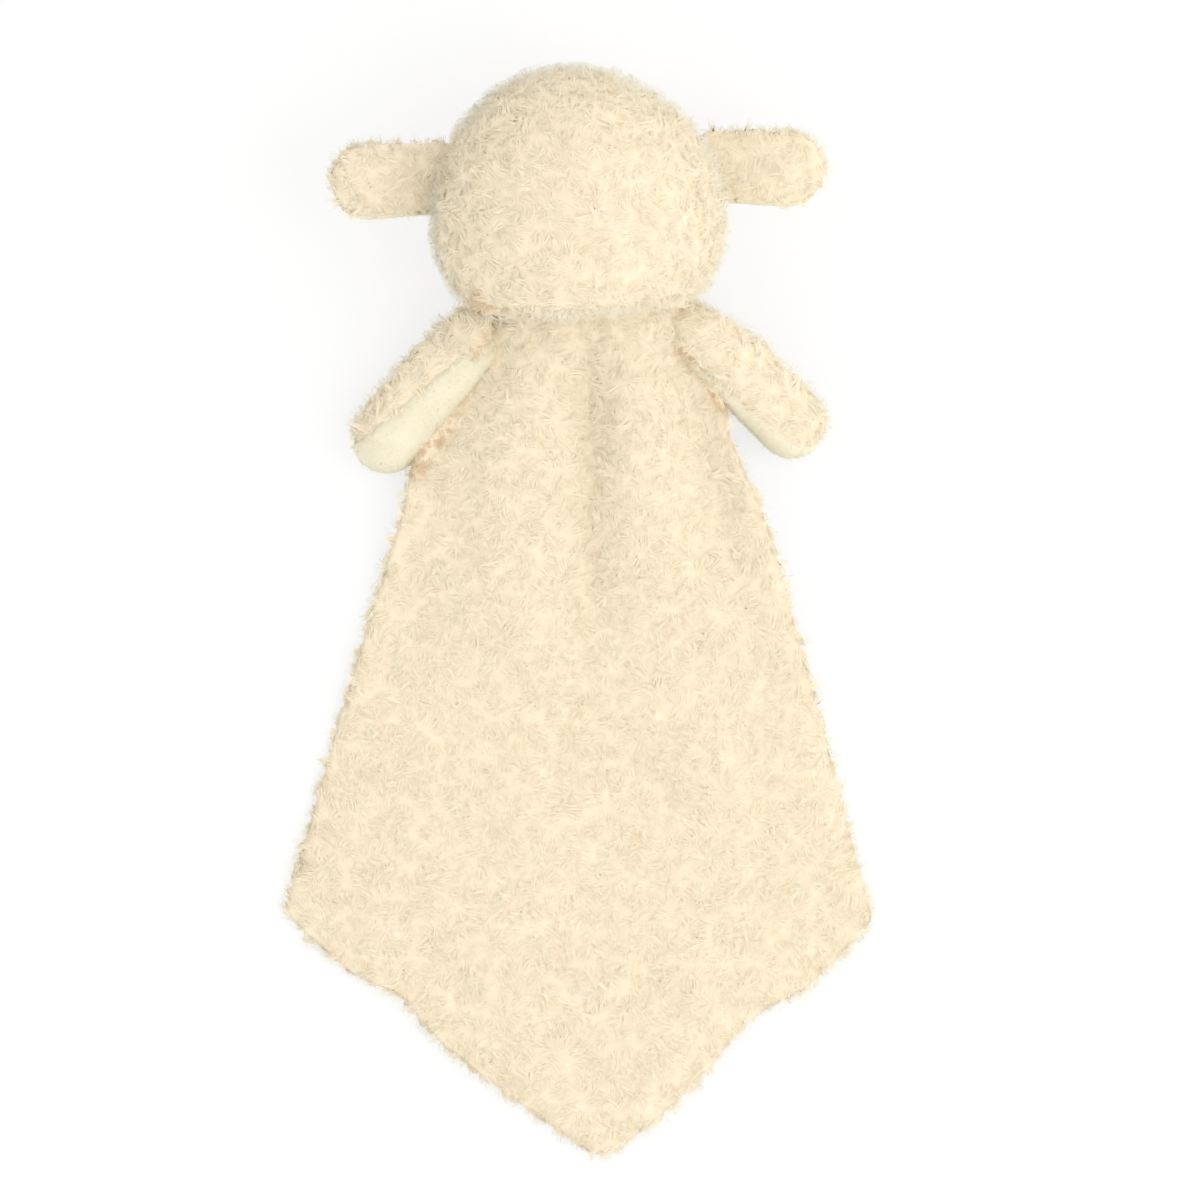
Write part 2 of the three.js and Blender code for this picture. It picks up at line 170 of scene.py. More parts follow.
def in_order(piece, points=False):
    """Sorts a mesh's faces, and if asked its points, which Blender's tools leave in a chance order.

    The pile is placed by drawing faces at random, so this gives the same pile each run.
    """
    mesh = bmesh.new()
    mesh.from_mesh(piece.data)
    if points:
        rank = ranked(mesh.verts, lambda point: tuple(point.co))
        mesh.verts.sort(key=lambda point: rank[point])
        mesh.verts.index_update()
    for elements in (mesh.edges, mesh.faces):
        rank = ranked(elements, lambda element: sorted(point.index for point in element.verts))
        elements.sort(key=lambda element: rank[element])
    mesh.to_mesh(piece.data)
    mesh.free()


def doubled_grid(name, columns, rows):
    """A grid from -1 to 1 with a second layer on it, and which of its points are the second's."""
    deselect()
    bpy.ops.mesh.primitive_grid_add(x_subdivisions=columns, y_subdivisions=rows, size=2)
    piece = take(name)
    on_all(bpy.ops.mesh.extrude_region)
    in_order(piece)
    second = np.empty(len(piece.data.vertices), dtype=bool)
    piece.data.vertices.foreach_get("select", second)
    return piece, second


def lay_cloth(name, columns, rows, bottom, top, reach):
    """A sheet of two layers over the kite, closed round its edge.

    bottom and top are the layers' heights, and reach is how far up the neck the cloth goes.
    """
    piece, upper = doubled_grid(name, columns, rows)
    co = places(piece)
    u = co[:, 0].copy()
    v = (1 - co[:, 1]) / 2
    plan = blanket_plan(u, v)
    height = blanket_height(u, plan)
    neck = np.maximum(0, 1 - v * rows / 4)
    plan[:, 1] += reach * neck**1.5
    level = np.where(upper, top(u, v, plan), bottom(u, v, plan))
    co[:, :2] = NECK_SEAM[:2] + plan
    co[:, 2] = height + level
    place(piece, co)
    alone(piece)
    on_all(bpy.ops.mesh.normals_make_consistent, inside=False)
    return piece


def paint(red, green, blue):
    """A colour as it is named on a screen, 0 to 255, brought to the light it stands for."""

    def light(c):
        return ((c / 255 + 0.055) / 1.055) ** 2.4 if c > 10 else c / 255 / 12.92

    return (light(red), light(green), light(blue), 1.0)


class Finish:
    """A material's node tree, with one short call for each node."""

    def __init__(self, name):
        self.material = bpy.data.materials.new(name)
        self.material.use_nodes = True
        self.tree = self.material.node_tree
        self.shader = self.tree.nodes["Principled BSDF"]
        self.output = self.tree.nodes["Material Output"]

    def node(self, kind, **settings):
        made = self.tree.nodes.new(kind)
        for key, value in settings.items():
            if key in made.inputs:
                self.feed(value, made.inputs[key])
            else:
                setattr(made, key, value)
        return made

    def feed(self, value, socket):
        if isinstance(value, bpy.types.NodeSocket):
            self.tree.links.new(value, socket)
        else:
            socket.default_value = value

    def set(self, **sockets):
        for key, value in sockets.items():
            self.feed(value, self.shader.inputs[key.replace("_", " ")])

    def where(self):
        """The place on the piece."""
        return self.node("ShaderNodeTexCoord").outputs["Object"]

    def noise(self, scale, detail, roughness):
        made = self.node("ShaderNodeTexNoise", Vector=self.where(), Scale=scale, Detail=detail)
        self.feed(roughness, made.inputs["Roughness"])
        return made.outputs["Fac"]

    def ramp(self, factor, *stops):
        made = self.node("ShaderNodeValToRGB", Fac=factor)
        elements = made.color_ramp.elements
        while len(elements) < len(stops):
            elements.new(0.5)
        for element, (at, colour) in zip(elements, stops):
            element.position = at
            element.color = colour
        return made.outputs["Color"]

    def bump(self, strength, depth, height, **below):
        """Fine relief, depth in metres, on the relief below it if there is one."""
        relief = {"Strength": strength, "Distance": depth, "Height": height}
        return self.node("ShaderNodeBump", **relief, **below).outputs["Normal"]

    def math(self, operation, *values):
        made = self.node("ShaderNodeMath", operation=operation)
        for value, socket in zip(values, made.inputs):
            self.feed(value, socket)
        return made.outputs[0]

    def surface(self, share, second):
        """Shows the material's own shader, with a share of a second one over it."""
        mix = self.node("ShaderNodeMixShader", Fac=share)
        self.feed(self.shader.outputs["BSDF"], mix.inputs[1])
        self.feed(second, mix.inputs[2])
        self.feed(mix.outputs["Shader"], self.output.inputs["Surface"])


def velour_finish():
    """Short clipped pile: soft sheen, a fine grain, and cloudy patches where the pile leans."""
    made = Finish("ivory_velour")
    clouds = made.noise(85.0, 3.0, 0.6)
    grain = made.noise(1500.0, 4.0, 0.7)
    pile = made.node("ShaderNodeTexVoronoi", Vector=made.where(), Scale=1900.0)
    tone = made.node("ShaderNodeMix", data_type="FLOAT", Factor=0.4)
    made.feed(clouds, tone.inputs[2])
    made.feed(grain, tone.inputs[3])
    colour = made.ramp(
        tone.outputs[0],
        (0.3, paint(225, 216, 188)),
        (0.5, paint(234, 226, 200)),
        (0.7, paint(241, 235, 212)),
    )
    grainy = made.bump(0.35, 0.0003, grain)
    napped = made.bump(0.3, 0.0002, pile.outputs["Distance"], Normal=grainy)
    made.set(Base_Color=colour, Roughness=0.85, Normal=napped)
    made.set(Sheen_Weight=0.25, Sheen_Roughness=0.4)
    return made.material


IVORY_VELOUR = velour_finish()

lining = lay_cloth(
    "blanket_velour",
    96,
    128,
    lambda u, v, plan: 0.35 * smooth(0.94, 1, np.maximum(np.abs(u), v)),
    lambda u, v, plan: LINING + 0 * u,
    0,
)
to_metres(lining)
lining.data.materials.append(IVORY_VELOUR)
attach(lining, "blanket")
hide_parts("blanket_front_lining")


# Blanket back: the same kite in curly sherpa fleece. A knitted backing carries locks of curled
# fibre, each lock a few millimetres wide, that lean every way and stand out round the hem.

FLEECE_BACKING = 2.6
HEM_THINNING = 1.3
GATHER_RISE = 5.2


def fleece_top(u, v, plan):
    """The backing's height over the lining's: lumpy, thin at the hem and raised at the neck."""
    x, y = plan[..., 0], plan[..., 1]
    lumps = np.sin(x * 1.31 + 2 * np.sin(y * 0.5)) * np.sin(y * 1.17 + x * 0.4)
    thin = HEM_THINNING * smooth(0.955, 1, np.maximum(np.abs(u), v))
    gathered = GATHER_RISE * smooth(0.075, 0, v) * (1 - u**4)
    return LINING + SEAM + FLEECE_BACKING + 0.45 * lumps - thin + gathered


backing = lay_cloth(
    "blanket_fleece",
    110,
    150,
    lambda u, v, plan: LINING + 0.5 * SEAM + 0 * u,
    fleece_top,
    6.8,
)


def fleece_finish():
    """The knitted backing between the locks, matt, with the grain of matted fibre. Its warm tan is
    partly its own colour and partly painted shade for the hollows between the locks.
    """
    made = Finish("sherpa_backing")
    tufts = made.noise(330.0, 5.0, 0.65)
    # Partly painted shade: a tan that keeps the gaps between the locks a little darker than the
    # fibres.
    colour = made.ramp(
        tufts,
        (0.3, paint(237, 221, 192)),
        (0.55, paint(243, 229, 203)),
        (0.75, paint(248, 237, 213)),
    )
    made.set(Base_Color=colour, Roughness=0.95, Normal=made.bump(0.4, 0.001, tufts))
    return made.material


LAMPLIGHT_THROUGH = 0.96
SCATTERED_THROUGH = 0.65
WARMED = (1.0, 0.99, 0.96, 1)
UNCHANGED = (1.0, 1.0, 1.0, 1)


def fibre_finish(name, root, middle, tip, tones):
    """Polyester fibre that passes light on, which warms it a little, except at the rims with
    painted rim light.

    Its colour runs from a darker, warmer root, which is painted shade deep in the pile, to the
    tip, and its tone from lock to lock.
    """
    made = Finish(name)
    fibre = made.node("ShaderNodeUVMap", uv_map="fibre").outputs["UV"]
    split = made.node("ShaderNodeSeparateXYZ", Vector=fibre)
    # Painted shade: darker and warmer towards the root, deep in the pile.
    along = made.ramp(split.outputs["Y"], (0.0, root), (0.45, middle), (1.0, tip))
    shade = made.ramp(split.outputs["X"], *tones)
    colour = made.node("ShaderNodeMix", data_type="RGBA", blend_type="MULTIPLY", Factor=1.0)
    made.feed(along, colour.inputs[6])
    made.feed(shade, colour.inputs[7])
    made.set(Base_Color=colour.outputs[2], Roughness=0.7)
    tint = made.ramp(split.outputs["X"], (0.86, WARMED), (0.93, UNCHANGED))
    clear = made.node("ShaderNodeBsdfTransparent", Color=tint)
    rays = made.node("ShaderNodeLightPath")
    lamp_share = made.math("MULTIPLY", rays.outputs["Is Shadow Ray"], LAMPLIGHT_THROUGH)
    scattered = rays.outputs["Is Diffuse Ray"]
    through = made.math("MULTIPLY_ADD", scattered, SCATTERED_THROUGH, lamp_share)
    made.surface(through, clear.outputs["BSDF"])
    return made.material


SHERPA_BACKING = fleece_finish()
SHERPA_CURLS = fibre_finish(
    "sherpa_curls",
    paint(249, 239, 218),
    paint(253, 247, 232),
    paint(253, 249, 238),
    (
        # Stop 0 is the painted shade in creases.
        (0.0, paint(229, 205, 178)),
        (0.25, paint(251, 243, 227)),
        (0.85, paint(254, 249, 237)),
        # Stop 1 is painted rim light, for the fibres at the rims and the stray hairs.
        (1.0, paint(251, 252, 249)),
    ),
)


def unit(vectors):
    return vectors / np.maximum(np.linalg.norm(vectors, axis=-1, keepdims=True), 1e-9)


def across(vectors, normal):
    """The part of the vectors that lies in the skin."""
    return vectors - (vectors * normal).sum(-1, keepdims=True) * normal


def scatter(piece, count, rng, share):
    """Random points on a piece's skin, in metres, their normals, and the skin's weighted area.

    share says how dense the points are, from the middle and the normal of each triangle.
    """
    mesh = piece.data
    mesh.calc_loop_triangles()
    corners = np.empty(len(mesh.loop_triangles) * 3, dtype=np.int32)
    mesh.loop_triangles.foreach_get("vertices", corners)
    corners = corners.reshape(-1, 3)
    co = places(piece)
    normal = vertex_normals(piece)
    a, b, c = (co[corners[:, k]] for k in range(3))
    cross = np.cross(b - a, c - a)
    area = np.linalg.norm(cross, axis=1) / 2
    face = cross / np.maximum(2 * area, 1e-12)[:, None]
    weight = area * share((a + b + c) / 3, face)
    total = weight.sum()
    pick = np.searchsorted(np.cumsum(weight) / total, rng.random(count))
    p, q = rng.random((2, count))
    flip = p + q > 1
    p[flip], q[flip] = 1 - p[flip], 1 - q[flip]
    w = np.stack([1 - p - q, p, q], 1)[:, :, None]
    tri = corners[pick]
    return (co[tri] * w).sum(1), unit((normal[tri] * w).sum(1)), total


def strand_faces(rings):
    """The faces of one closed strand: its root, three sides between rings, and its tip."""
    faces = [[0, 1, 2]]
    last = 3 * (rings - 1)
    for start in range(0, last, 3):
        for k in range(3):
            a, b = start + k, start + (k + 1) % 3
            faces.append([b, a, a + 3, b + 3])
    for k in range(3):
        faces.append([last + (k + 1) % 3, last + k, last + 3])
    return faces


def strands(name, paths, up, skin, radius, tone, finish, most=12000):
    """Closed three-sided fibres along paths, one flat side up, in pieces of at most so many.

    They shade softly: partly round, partly as the skin below, and those that stand out sideways
    also catch the light from above. UV "fibre" holds each fibre's tone and the way up it.
    """
    count = len(paths)
    rings = paths.shape[1] - 1
    heading = unit(np.gradient(paths, axis=1))
    side = unit(np.cross(heading, up[:, None, :]))
    other = np.cross(side, heading)
    level = skin[:, 2:]
    from_above = smooth(-1.0, 0.1, level) * (1.5 + 1.5 * smooth(0.6, 0.0, level))
    glow = unit(skin + np.array([0, 0, 1.0]) * from_above)
    faces = strand_faces(rings)
    flat = np.array([index for face in faces for index in face])
    sizes = np.array([len(face) for face in faces])
    starts = np.concatenate([[0], np.cumsum(sizes)[:-1]])
    per = rings * 3 + 1
    rise = np.append(np.repeat(np.arange(rings) / rings, 3), 1.0)
    angle = 2 * pi * (np.arange(3) / 3 + 1 / 12)
    made = []
    order = np.argsort(-paths[:, 0, 1], kind="stable")
    for number, group in enumerate(np.array_split(order, -(-count // most))):
        n = len(group)
        spine = paths[group, :rings, None, :]
        body = spine + radius[group, :rings, None, None] * (
            np.cos(angle)[:, None] * side[group, :rings, None, :]
            + np.sin(angle)[:, None] * other[group, :rings, None, :]
        )
        points = np.concatenate([body.reshape(n, rings * 3, 3), paths[group, rings:]], axis=1)
        outwards = unit(body - spine).reshape(n, rings * 3, 3)
        outwards = np.concatenate([outwards, heading[group, rings:]], axis=1)
        facing = across(skin[group, None, :], heading[group])
        facing = np.repeat(facing, [3] * rings + [1], axis=1)
        beside = smooth(0.6, -0.1, skin[group, None, 2:])
        soft = unit(
            (0.3 + 0.15 * beside) * outwards
            + 0.14 * facing
            + (0.8 - 0.2 * beside) * glow[group, None, :]
        )
        mesh = bpy.data.meshes.new(f"{name}_{number + 1}")
        mesh.vertices.add(n * per)
        mesh.vertices.foreach_set("co", points.astype(np.float32).ravel())
        loops = (flat[None, :] + per * np.arange(n)[:, None]).ravel()
        mesh.loops.add(len(loops))
        mesh.loops.foreach_set("vertex_index", loops.astype(np.int32))
        first = (starts[None, :] + sizes.sum() * np.arange(n)[:, None]).ravel()
        mesh.polygons.add(n * len(sizes))
        mesh.polygons.foreach_set("loop_start", first.astype(np.int32))
        coordinates = np.empty((n, len(flat), 2), dtype=np.float32)
        coordinates[..., 0] = tone[group, None]
        coordinates[..., 1] = rise[flat][None, :]
        mesh.uv_layers.new(name="fibre").data.foreach_set("uv", coordinates.ravel())
        mesh.update()
        mesh.shade_smooth()
        mesh.normals_split_custom_set_from_vertices(soft.reshape(-1, 3).astype(np.float32))
        piece = bpy.data.objects.new(mesh.name, mesh)
        bpy.context.collection.objects.link(piece)
        mesh.materials.append(finish)
        made.append(piece)
    return made


def off_line(x, y, start, end):
    """The distance in plan from a line between two points."""
    (ax, ay), (bx, by) = start, end
    t = ((x - ax) * (bx - ax) + (y - ay) * (by - ay)) / ((bx - ax) ** 2 + (by - ay) ** 2)
    t = np.clip(t, 0, 1)
    return np.hypot(x - ax - t * (bx - ax), y - ay - t * (by - ay))


def crease_shade(root):
    """How deep in the creases a place is, 0 to 1. The pile there is painted darker and warmer, as
    painted shade.

    The creases are the blanket's middle fold, the neck, beside both arms and at the left ear.
    """
    x, y, z = root.T
    neck = (
        (-38.0, 112.0),
        (-32.0, 110.0),
        (-22.0, 106.5),
        (-2.0, 107.0),
        (26.0, 109.0),
        (44.0, 113.5),
    )
    left_side = ((-33.0, 96.0), (-59.5, 49.5))
    right_side = ((38.0, 93.0), (54.0, 70.8), (60.0, 66.0))
    left_ear = ((-43.1, 168.9), (-47.5, 147.8))
    # Painted shade: strongest on the left of the neck, low down beside the arms, and along the
    # valley of the middle fold.
    at_neck = (0.35 + 0.6 * smooth(-6, -18, x)) * smooth(14, 6, np.abs(z - 52))
    low = smooth(46, 36, z)
    off_fold = np.abs(x - 3 - 3 * np.sin((110 - y) / 34))
    deep = 0.5 * smooth(9, 1, off_fold) * smooth(112, 92, y) * smooth(-90, 0, y)
    for line, reach, strength in (
        (neck, 3.2, at_neck),
        (left_side, 6.8, low),
        (right_side, 3.4, low),
        (left_ear, 2.6, 0.7),
    ):
        for start, end in zip(line, line[1:]):
            near = smooth(reach, 0.3 * reach, off_line(x, y, start, end))
            deep = np.maximum(deep, strength * near)
    return deep


def in_locks(root, normal, locks, rng):
    """Shares fibres out to locks: each fibre's lock, and the locks' middles and normals."""

    def sums(values):
        return np.stack([np.bincount(member, values[:, k], locks) for k in range(3)], 1)

    centre = root[rng.choice(len(root), locks, replace=False)]
    for _ in range(2):
        tree = kdtree.KDTree(locks)
        for index, point in enumerate(centre):
            tree.insert(point, index)
        tree.balance()
        member = np.array([tree.find(point)[1] for point in root])
        size = np.maximum(np.bincount(member, minlength=locks), 1)
        centre = sums(root) / size[:, None]
    return member, centre, unit(sums(normal))


ROOT_DEPTH = 0.4
OFF_TABLE = 0.35
# The tone of the painted shade in creases.
CREASE_SHADE_TONE = 0.02


def curls(
    name,
    cloth,
    seed,
    share,
    density=1.25,
    lock=4.3,
    height=2.4,
    lean=4.6,
    width=0.46,
    strays=0.26,
    finish=SHERPA_CURLS,
):
    """Locks of crimped fibre on a cloth, and loose hairs between them.

    density is fibres per square millimetre. lock is how far apart locks are, height how high they
    stand, lean how far their tips reach and width how thick a fibre is. strays is the share of
    loose hairs, and there are more of them at the rims, where the pile is also painted paler as
    painted rim light.
    """
    rng = np.random.default_rng(seed)
    area = scatter(cloth, 1, rng, share)[2] * 1e6
    count = int(area * density)
    root, normal, _ = scatter(cloth, count, rng, share)
    root = root * 1000
    locks = max(8, int(area / (0.87 * lock**2)))
    member, centre, lock_normal = in_locks(root, normal, locks, rng)

    # What the fibres of one lock have in common.
    way = unit(across(rng.normal(size=(locks, 3)), lock_normal))[member]
    bow = np.cross(lock_normal[member], way)
    leaning = (lean * rng.uniform(0.6, 1.15, locks))[member, None]
    tall = (height * rng.uniform(0.6, 1.25, locks))[member, None]
    phase = rng.uniform(0, 2 * pi, locks)[member, None]
    turns = (rng.uniform(0.45, 0.95, locks) * rng.choice([-1, 1], locks))[member, None]
    ring = (height / 2.4 * rng.uniform(0.35, 0.95, locks))[member, None]
    tone = 0.35 + 0.3 * rng.random(locks)[member] + rng.uniform(-0.2, 0.2, count)

    # Each fibre rises, leans and coils, t going from its root to its tip.
    t = np.linspace(0, 1, 4)[None, :]
    rim = smooth(0.6, 0.0, normal[:, 2])
    stray = (rng.random(count) < strays + 0.4 * rim)[:, None]
    # Painted rim light: the pile on skin that faces sideways is painted paler.
    tone += 0.85 * rim * (1 - tone)
    pressed = 0.5 + 0.5 * smooth(-0.75, -0.1, normal[:, 2:])
    length = np.where(stray, 1.25, rng.uniform(0.75, 1.12, count)[:, None]) * pressed
    rise = tall * length * (1.5 * t - 0.75 * t * t) * np.where(stray, 1.75, 1)
    out = leaning * length * t**1.2 * np.where(stray, 0.5, 1)
    theta = phase + 2 * pi * turns * t
    coil = ring * t**0.6
    path = (
        root[:, None, :]
        + rise[..., None] * normal[:, None, :]
        + (out + coil * np.cos(theta))[..., None] * way[:, None, :]
        + (coil * np.sin(theta))[..., None] * bow[:, None, :]
    )

    # It is drawn to the middle of its lock, unless it is a stray, and goes a little its own way.
    gather = np.where(stray, 0.1, rng.uniform(0.5, 0.85, count)[:, None]) * t**1.2
    path += gather[..., None] * across(centre[member] - root, normal)[:, None, :]
    loose = across(rng.normal(size=(count, 3)), normal) * np.where(stray, 0.6, 0.25) * height
    path += (t**1.5)[..., None] * loose[:, None, :]
    path -= ROOT_DEPTH * normal[:, None, :]
    path[..., 2] = np.maximum(path[..., 2], OFF_TABLE)

    thick = width / 2 * rng.uniform(0.75, 1.2, count)[:, None] * np.where(stray, 0.36, 1)
    radius = thick * (1 - 0.75 * t**1.5)
    up = unit(normal + across(rng.normal(size=(count, 3)), normal) * 0.3)
    # Painted shade: fibres in the creases take the darker, warmer tone at the low end of the ramp.
    deep = crease_shade(root) if finish is SHERPA_CURLS else 0.0
    # Painted rim light as well: stray hairs take a pale tone, palest at the rims.
    tone = np.where(stray[:, 0], 0.85 + 0.15 * rim, tone) * (1 - deep) + CREASE_SHADE_TONE * deep
    return strands(name, path / 1000, up, normal, radius / 1000, tone, finish)


def hem_share(centre, face):
    """Most pile on the narrow edge of the hem, and none below it."""
    return smooth(-0.35, 0.1, face[:, 2]) * np.where(face[:, 2] < 0.6, 3.8, 1)


to_metres(backing)
backing.data.materials.append(SHERPA_BACKING)
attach(backing, "blanket")
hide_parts("blanket_back_fleece")
blanket_curls = curls("blanket_curls", backing, 11, hem_share, density=1.12)
for part in blanket_curls:
    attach(part, "blanket")


# Neck: the gathered top of the blanket, rolled in and sewn into the opening under the head. It is
# padded by its own folds, and the pile of the fleece hides the thread.

HEAD_MIDDLE = 43.2
HEAD_PLACE = Matrix.Translation((NECK_SEAM[0] + 1, NECK_SEAM[1], HEAD_MIDDLE))
HEAD = HEAD_PLACE @ Matrix.Rotation(HEAD_TILT, 4, "Z")
ROLL_END = 37
GATHER_SPACING = 9.1


def rounded(out, power=2.0):
    """From 1 in the middle, out = 0, to 0 at the end, out = 1, as a circle or a squarer curve."""
    return (1 - np.clip(out, 0, 1) ** power) ** (1 / power)


def stuffed(name, start, end, half_width, half_depth, sides, rings):
    """A closed form along Y whose section is an ellipse, from a sphere that is drawn out to it."""
    deselect()
    bpy.ops.mesh.primitive_uv_sphere_add(segments=sides, ring_count=rings, radius=1)
    piece = take(name)
    in_order(piece)
    ball = places(piece)
    y = start + (end - start) * (1 + ball[:, 2]) / 2
    round_it = unit(np.stack([ball[:, 0], -ball[:, 1]], 1))
    round_it[np.abs(ball[:, 2]) > 0.99999] = 0
    co = np.stack([half_width(y) * round_it[:, 0], y, half_depth(y) * round_it[:, 1]], 1)
    place(piece, co)
    return piece


def moved(piece, matrix):
    piece.data.transform(matrix)
    piece.data.update()


def inwards(piece, depth):
    """Sinks each point by its own depth along the normal."""
    co = places(piece)
    place(piece, co - vertex_normals(piece) * depth(co)[:, None])


def everywhere(centre, face):
    return np.ones(len(centre))


def roll_half(size):
    """Half the roll's width or depth along it, with the ridges of its gathers."""
    return lambda y: (
        (size + 0.4 * np.cos(2 * pi * y / GATHER_SPACING)) * rounded(np.abs(y) / ROLL_END, 5)
    )


neck = stuffed("neck_roll", -ROLL_END, ROLL_END, roll_half(4.0), roll_half(4.5), 28, 64)
moved(neck, Matrix.Translation((0, 0, -5.2)) @ Matrix.Rotation(-pi / 2, 4, "Z"))
moved(neck, HEAD)
to_metres(neck)
neck.data.materials.append(SHERPA_BACKING)
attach(neck, "neck")
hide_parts("neck_gather")
for part in curls("neck_curls", neck, 31, lambda centre, face: smooth(-0.6, 0.0, face[:, 2])):
    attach(part, "neck")


# Head: a ball of polyester filling in panels of the same fleece, fullest at the cheeks and tucked
# under at the neck. The back of it shows, and the face lies on the table.

HEAD_LENGTH = 88
HEAD_HALF_WIDTH, WIDEST = 53.5, 26
HEAD_HALF_DEPTH, DEEPEST = 45, 44
CURL_HEIGHT = 2.0
FACE_AT = np.array([0, 39])
FACE_HALF = np.array([31, 30])


def head_swell(y, middle):
    """How full the head is along it, 0 to 1, when it is fullest at middle."""
    above = rounded((y - middle) / (HEAD_LENGTH - middle))
    below = rounded((middle - y) / (middle + 17)) * rounded((4 - y) / 4, 4)
    return np.where(y > middle, above, below)


head = stuffed(
    "head_back",
    0,
    HEAD_LENGTH,
    lambda y: HEAD_HALF_WIDTH * head_swell(y, WIDEST),
    lambda y: HEAD_HALF_DEPTH * head_swell(y, DEEPEST),
    96,
    72,
)
inwards(head, lambda co: CURL_HEIGHT + 2.2 * smooth(60, HEAD_LENGTH, co[:, 1]))
co = places(head)
co[:, 0] -= 3.0 * smooth(50, HEAD_LENGTH, co[:, 1])
sag = np.maximum(0, 1 - (co[:, 0] / 46) ** 2) * smooth(16, 0, co[:, 1]) * smooth(0, 14, co[:, 2])
co[:, 1] -= 6.0 * sag
place(head, co)
moved(head, HEAD)
co = places(head)
co[:, 2] = np.maximum(co[:, 2], 2.6)
place(head, co)
to_metres(head)
head.data.materials.append(SHERPA_BACKING)
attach(head, "head")
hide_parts("head_fleece", "head_stuffing")


def on_toy(own, matrix):
    """Points in a form's own millimetres, brought to their place on the toy."""
    m = np.array(matrix)
    return own @ m[:3, :3].T + m[:3, 3]


def own_place(points, matrix):
    """Points of the whole toy, in metres, in a form's own millimetres."""
    return on_toy(points * 1000, matrix.inverted())


def head_share(centre, face):
    """No curls on the face, and half as many where the head lies on the table."""
    own = own_place(centre, HEAD)
    in_face = (((own[:, :2] - FACE_AT) / FACE_HALF) ** 2).sum(1) < 1
    in_face &= own[:, 2] < 0
    return np.where(in_face, 0.0, 0.5 + 0.5 * smooth(-0.5, -0.1, face[:, 2]))


for part in curls("head_curls", head, 23, head_share):
    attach(part, "head")


# Face: an oval of velour let into the front of the head, under it as it lies, and a little flat
# where it rests. Its eyes, nose and mouth are satin stitches of thick thread.


def head_front(x, y, out):
    """The height of the face's skin in the head's frame, out millimetres inside the pile's tips."""
    wide = HEAD_HALF_WIDTH * head_swell(y, WIDEST) - out
    deep = HEAD_HALF_DEPTH * head_swell(y, DEEPEST) - out
    on_oval = -deep * np.sqrt(np.maximum(0, 1 - (x / wide) ** 2))
    return np.maximum(on_oval, 0.1 - HEAD_MIDDLE)


def on_face(points, out):
    """Brings points (x, y) of the face to their place on the toy."""
    x, y = points[..., 0], points[..., 1]
    return on_toy(np.stack([x, y, head_front(x, y, out)], -1), HEAD)


face, deeper = doubled_grid("face_panel", 56, 56)
square = places(face)
disc = square[:, :2] * np.sqrt(1 - square[:, 1::-1] ** 2 / 2)
edge = np.linalg.norm(disc, axis=1)
x, y = (disc * FACE_HALF + FACE_AT).T
depth = np.where(deeper, 2.6, 1.0 + 1.5 * smooth(0.9, 1.0, edge) ** 2)
height = head_front(x, y, 0) + depth
height = np.maximum(height, 0.3 - HEAD_MIDDLE + np.where(deeper, 1.2, 0.0))
place(face, on_toy(np.stack([x, y, height], 1), HEAD))
on_all(bpy.ops.mesh.normals_make_consistent, inside=False)
to_metres(face)
face.data.materials.append(IVORY_VELOUR)
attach(face, "head")
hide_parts("face_panel")


def thread_finish(name, dark, light):
    """Twisted embroidery thread with a low shine."""
    made = Finish(name)
    ply = made.node("ShaderNodeTexWave", Vector=made.where(), Scale=1400.0, Distortion=2.0)
    ply.bands_direction = "DIAGONAL"
    colour = made.ramp(ply.outputs["Fac"], (0.2, dark), (0.8, light))
    twist = made.bump(0.5, 0.0001, ply.outputs["Fac"])
    made.set(Base_Color=colour, Roughness=0.45, Normal=twist)
    return made.material


def stitches(name, lines, thickness, finish):
    """Lengths of thread along lines of points, each closed at its ends."""
    curve = bpy.data.curves.new(name, "CURVE")
    curve.dimensions = "3D"
    curve.bevel_depth = thickness / 2
    curve.bevel_resolution = 1
    curve.use_fill_caps = True
    for line in lines:
        spline = curve.splines.new("POLY")
        spline.points.add(len(line) - 1)
        for point, at in zip(spline.points, line):
            point.co = (*at, 1)
    piece = bpy.data.objects.new(name, curve)
    bpy.context.collection.objects.link(piece)
    alone(piece)
    bpy.ops.object.convert(target="MESH")
    piece = take(name)
    piece.data.materials.clear()
    piece.data.materials.append(finish)
    moved(piece, Matrix.Scale(0.001, 4))
    piece.data.shade_smooth()
    return piece


def satin(width_at, low, high, gap=0.42):
    """Stitches side to side over a shape whose left and right are known at each height."""
    lines = []
    for y in np.arange(low + gap / 2, high, gap):
        left, right = width_at(y)
        t = np.linspace(0, 1, 7)
        x = left + (right - left) * t
        lines.append(on_face(np.stack([x, y + 0 * x], -1), 0.85 - 0.5 * np.sin(pi * t)))
    return lines


BROWN_THREAD = thread_finish("brown_thread", paint(70, 50, 40), paint(104, 78, 62))
PINK_THREAD = thread_finish("pink_thread", paint(184, 134, 120), paint(214, 166, 152))
EYE_ACROSS, EYE_AT = 17, 45
EYE_HALF_WIDTH, EYE_HALF_HEIGHT = 3, 3.75
for side, name in ((-1, "left_eye"), (1, "right_eye")):
    middle = side * EYE_ACROSS

    def eye_width(y):
        half = EYE_HALF_WIDTH * np.sqrt(max(0, 1 - ((y - EYE_AT) / EYE_HALF_HEIGHT) ** 2))
        return middle - half, middle + half

    eye_lines = satin(eye_width, EYE_AT - EYE_HALF_HEIGHT, EYE_AT + EYE_HALF_HEIGHT)
    eye = stitches(name + "_stitches", eye_lines, 0.5, BROWN_THREAD)
    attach(eye, "head")
    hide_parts(name)

NOSE_LOW, NOSE_TOP = 21.6, 28.6
MOUTH_AT = 15.2


